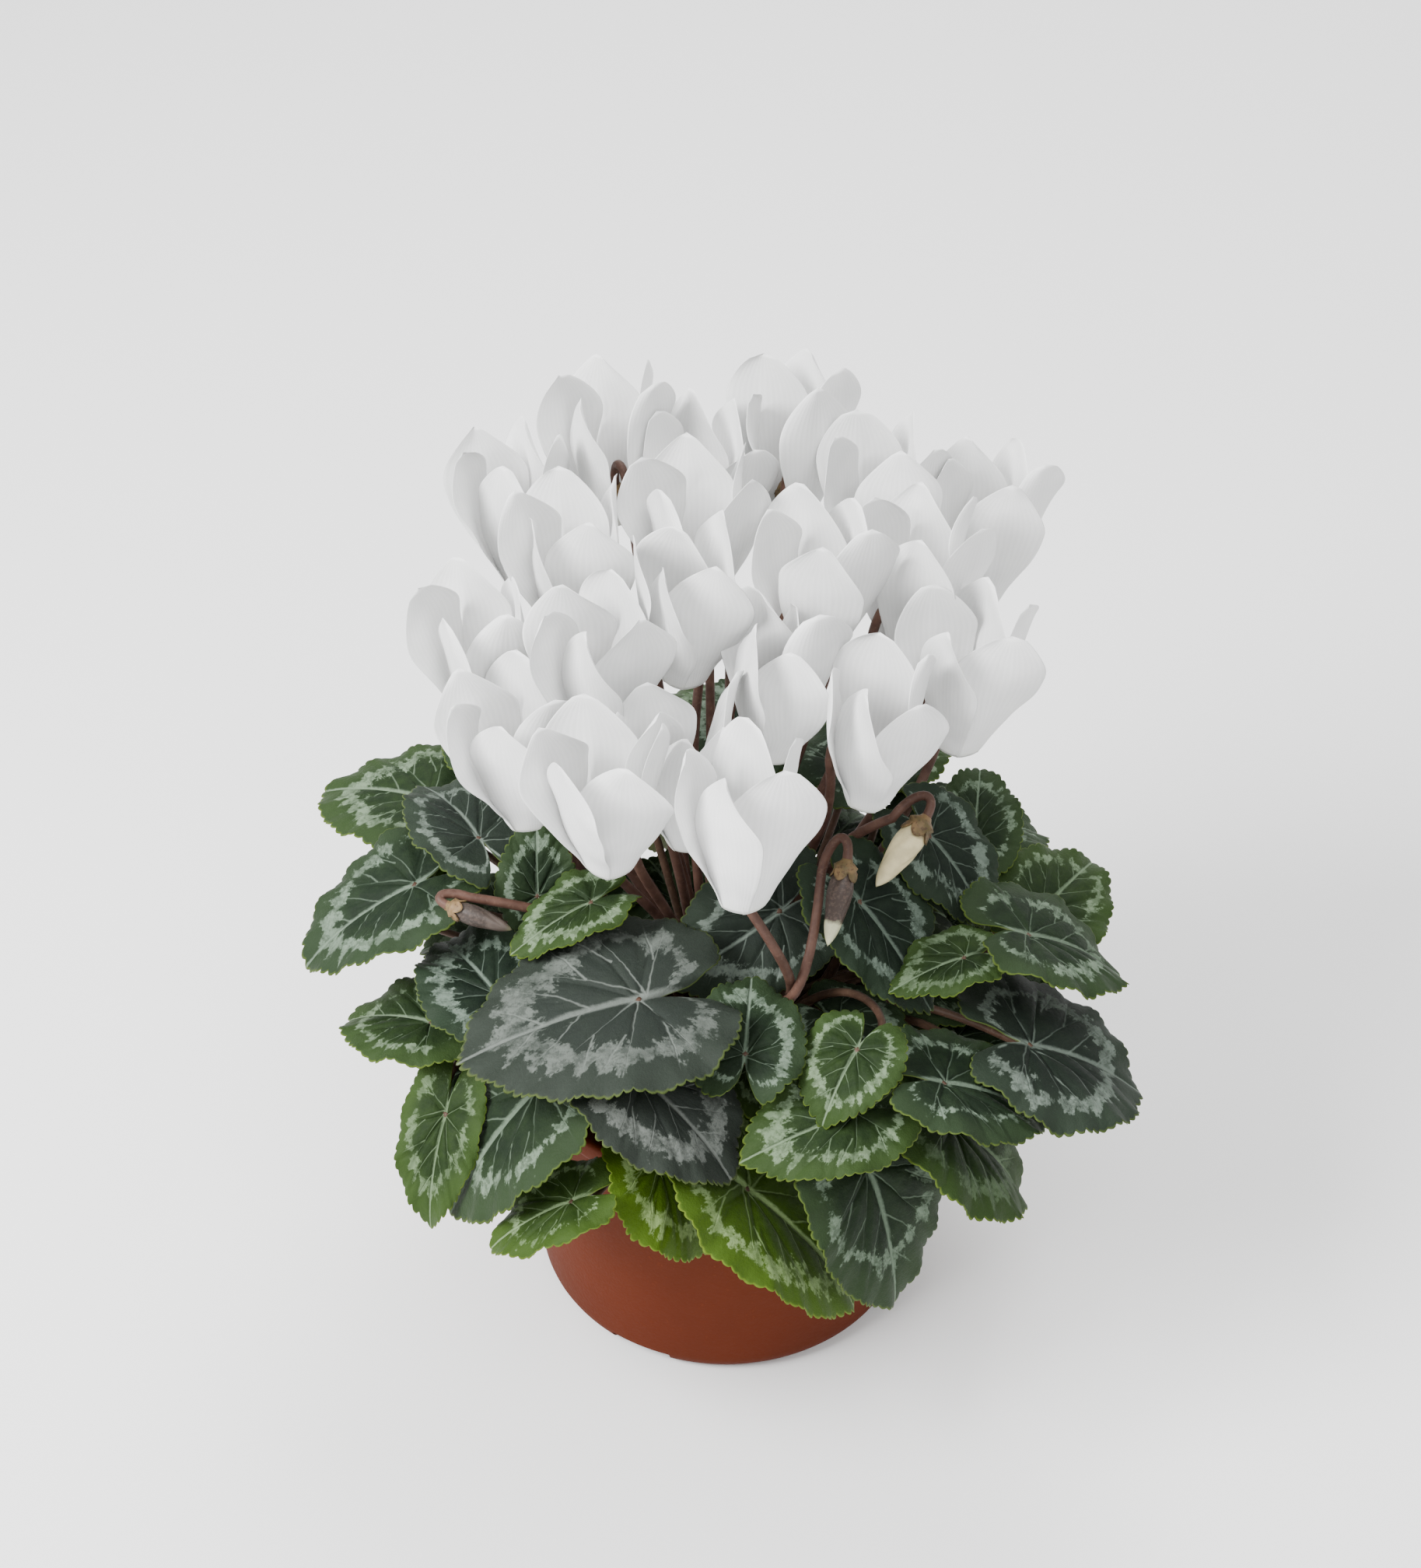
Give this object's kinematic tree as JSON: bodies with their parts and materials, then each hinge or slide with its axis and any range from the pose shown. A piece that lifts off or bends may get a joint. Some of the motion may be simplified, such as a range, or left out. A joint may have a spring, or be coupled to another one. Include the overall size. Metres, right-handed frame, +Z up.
{
  "type": "potted cyclamen",
  "caption": "Flowering cyclamen with white upswept petals over a rosette of marbled heart-shaped leaves, growing in a plain round pot.",
  "frame": {"origin": "middle of the pot's flat underside", "axes": "+Z up along the pot's axis, +X right and -Y towards the viewer of the picture"},
  "size_m": [0.2447, 0.2184, 0.2758],
  "materials": {
    "pot": "matt terracotta brown",
    "soil": "dark moist potting compost",
    "stalk": "smooth pinkish brown flesh",
    "leaf": "satin dark green with silver-green marbling",
    "petal": "matt white petal",
    "bud": "matt cream bud"
  },
  "bodies": {
    "root": {"pot": "pot", "soil": "soil", "tuber_with_stalks": "stalk", "bloom_01": "petal", "bloom_02": "petal", "bloom_03": "petal", "bloom_04": "petal", "bloom_05": "petal", "bloom_06": "petal", "bloom_07": "petal", "bloom_08": "petal", "bloom_09": "petal", "bloom_10": "petal", "bloom_11": "petal", "bloom_12": "petal", "bloom_13": "petal", "bloom_14": "petal", "bloom_15": "petal", "bloom_16": "petal", "bloom_17": "petal", "bloom_18": "petal", "bloom_19": "petal", "bloom_20": "petal", "bud_cream": "bud", "bud_dark": "bud", "bud_curled": "bud", "leaf_01": "leaf", "leaf_02": "leaf", "leaf_03": "leaf", "leaf_04": "leaf", "leaf_05": "leaf", "leaf_06": "leaf", "leaf_07": "leaf", "leaf_08": "leaf", "leaf_09": "leaf", "leaf_10": "leaf", "leaf_11": "leaf", "leaf_12": "leaf", "leaf_13": "leaf", "leaf_14": "leaf", "leaf_15": "leaf", "leaf_16": "leaf", "leaf_17": "leaf", "leaf_18": "leaf", "leaf_19": "leaf", "leaf_20": "leaf", "leaf_21": "leaf", "leaf_22": "leaf", "leaf_23": "leaf", "leaf_24": "leaf", "leaf_25": "leaf", "leaf_26": "leaf", "leaf_27": "leaf", "leaf_28": "leaf", "leaf_29": "leaf", "leaf_30": "leaf", "leaf_fan_back_right": "leaf", "leaf_fan_back": "leaf", "leaf_fan_back_left": "leaf", "leaf_fan_front": "leaf"}
  },
  "joints": []
}
